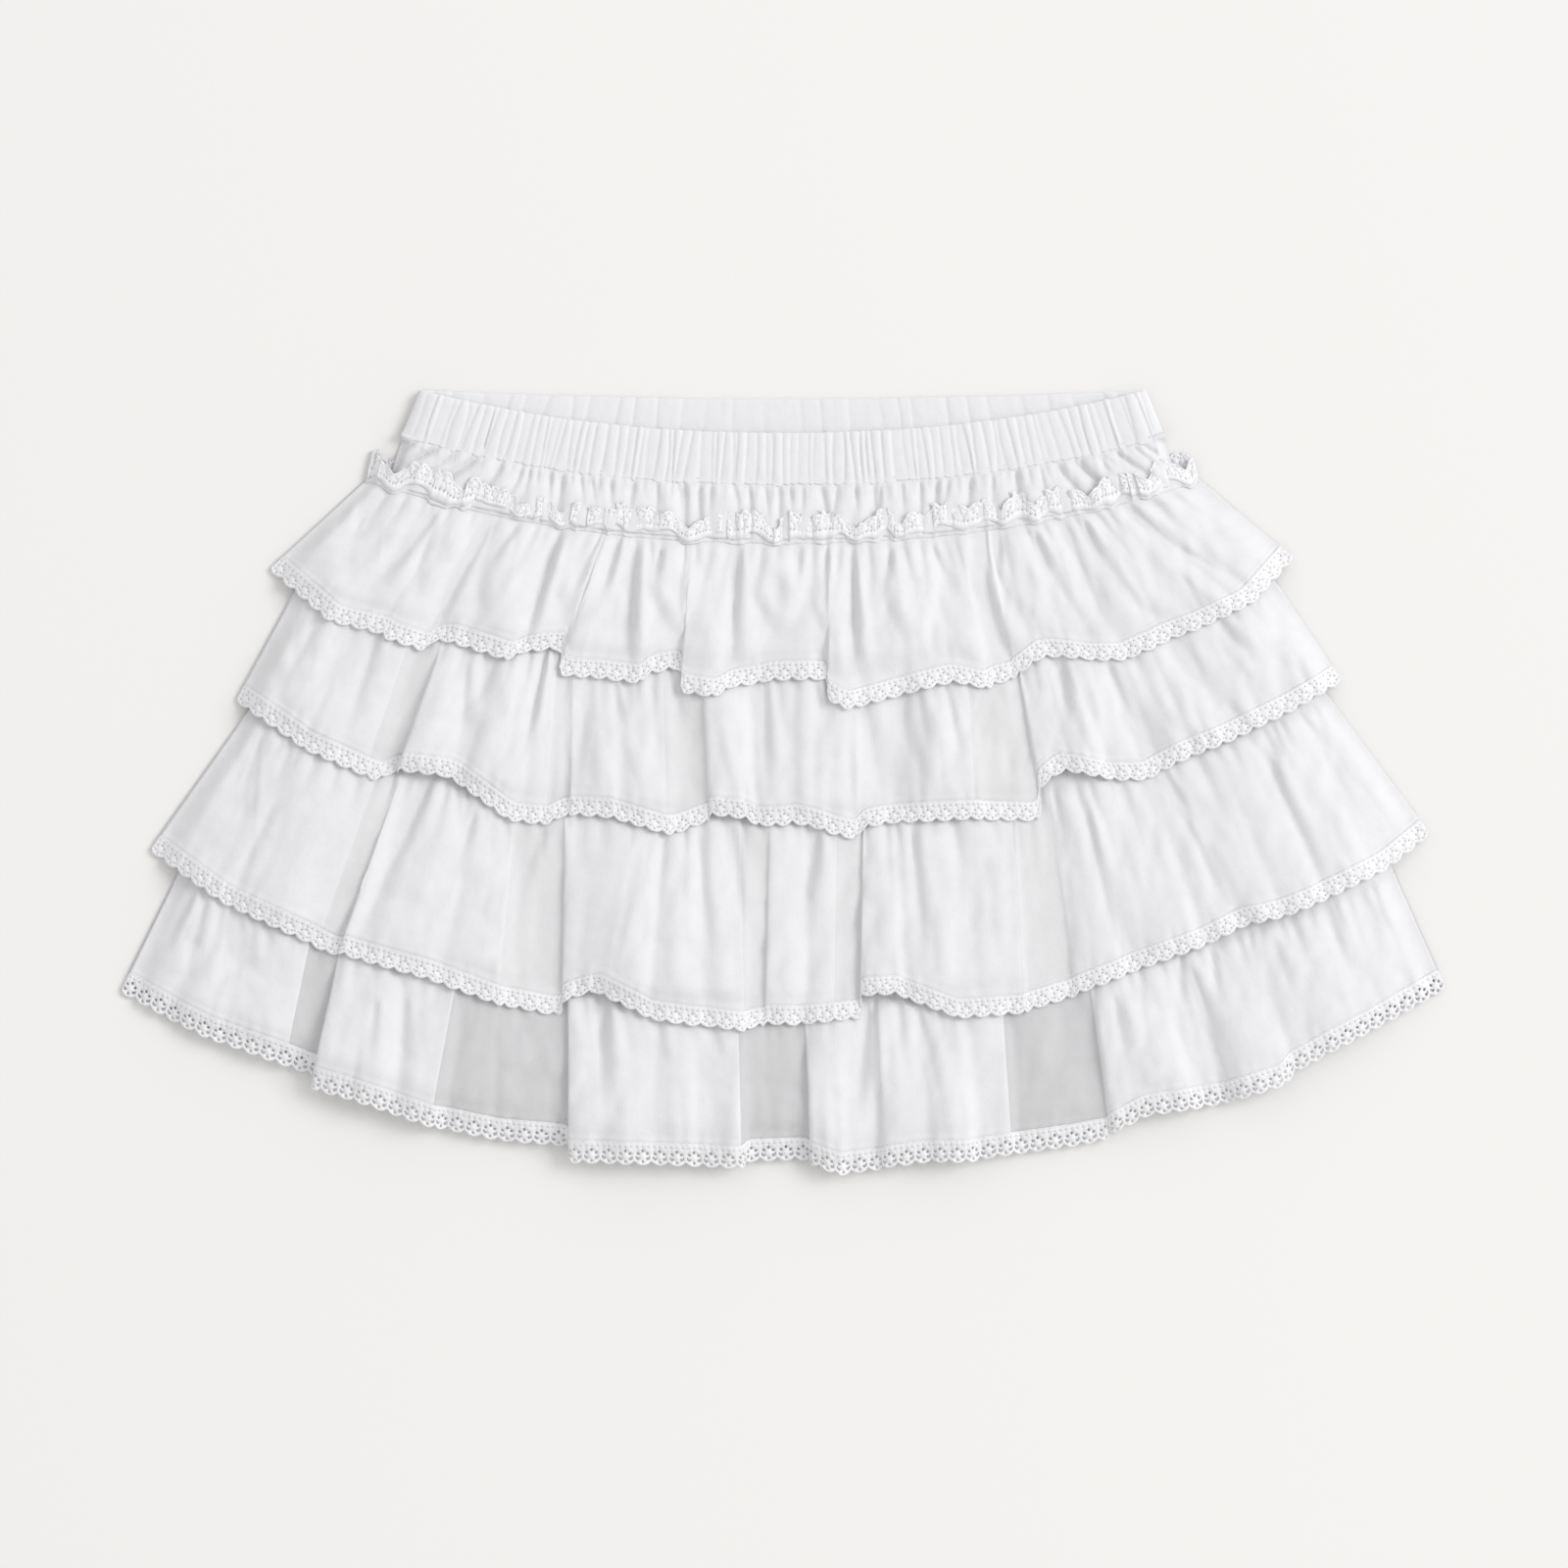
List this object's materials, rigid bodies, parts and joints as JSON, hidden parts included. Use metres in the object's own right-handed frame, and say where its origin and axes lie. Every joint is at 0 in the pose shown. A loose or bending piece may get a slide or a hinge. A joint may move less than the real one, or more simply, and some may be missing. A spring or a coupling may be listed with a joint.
{
  "type": "tiered ruffle skort",
  "caption": "White cotton ruffle skort laid flat: gathered elastic waistband, tiered ruffles edged with narrow lace, and inner shorts.",
  "frame": {"origin": "centre of the bounding box, on the surface the skort lies on", "axes": "+X across the garment to the right as seen from the front, +Y up it from hem to waist, +Z up from the surface, out of its front"},
  "size_m": [0.6112, 0.3614, 0.0241],
  "materials": {
    "cotton": "white cotton voile, crisp, matt, slightly sheer",
    "lace": "white cotton lace edging, matt",
    "shorts_cotton": "white plain-weave cotton, matt"
  },
  "bodies": {
    "root": {"waistband_front": "cotton", "yoke_front": "cotton", "base_front": "cotton", "shorts_front": "shorts_cotton", "tier_1_front": "cotton", "lace_1_front": "lace", "tier_2_front": "cotton", "lace_2_front": "lace", "tier_3_front": "cotton", "lace_3_front": "lace", "tier_4_front": "cotton", "lace_4_front": "lace", "waistband_back": "cotton", "yoke_back": "cotton", "base_back": "cotton", "shorts_back": "shorts_cotton", "tier_1_back": "cotton", "lace_1_back": "lace", "tier_2_back": "cotton", "lace_2_back": "lace", "tier_3_back": "cotton", "lace_3_back": "lace", "tier_4_back": "cotton", "lace_4_back": "lace"}
  },
  "joints": []
}
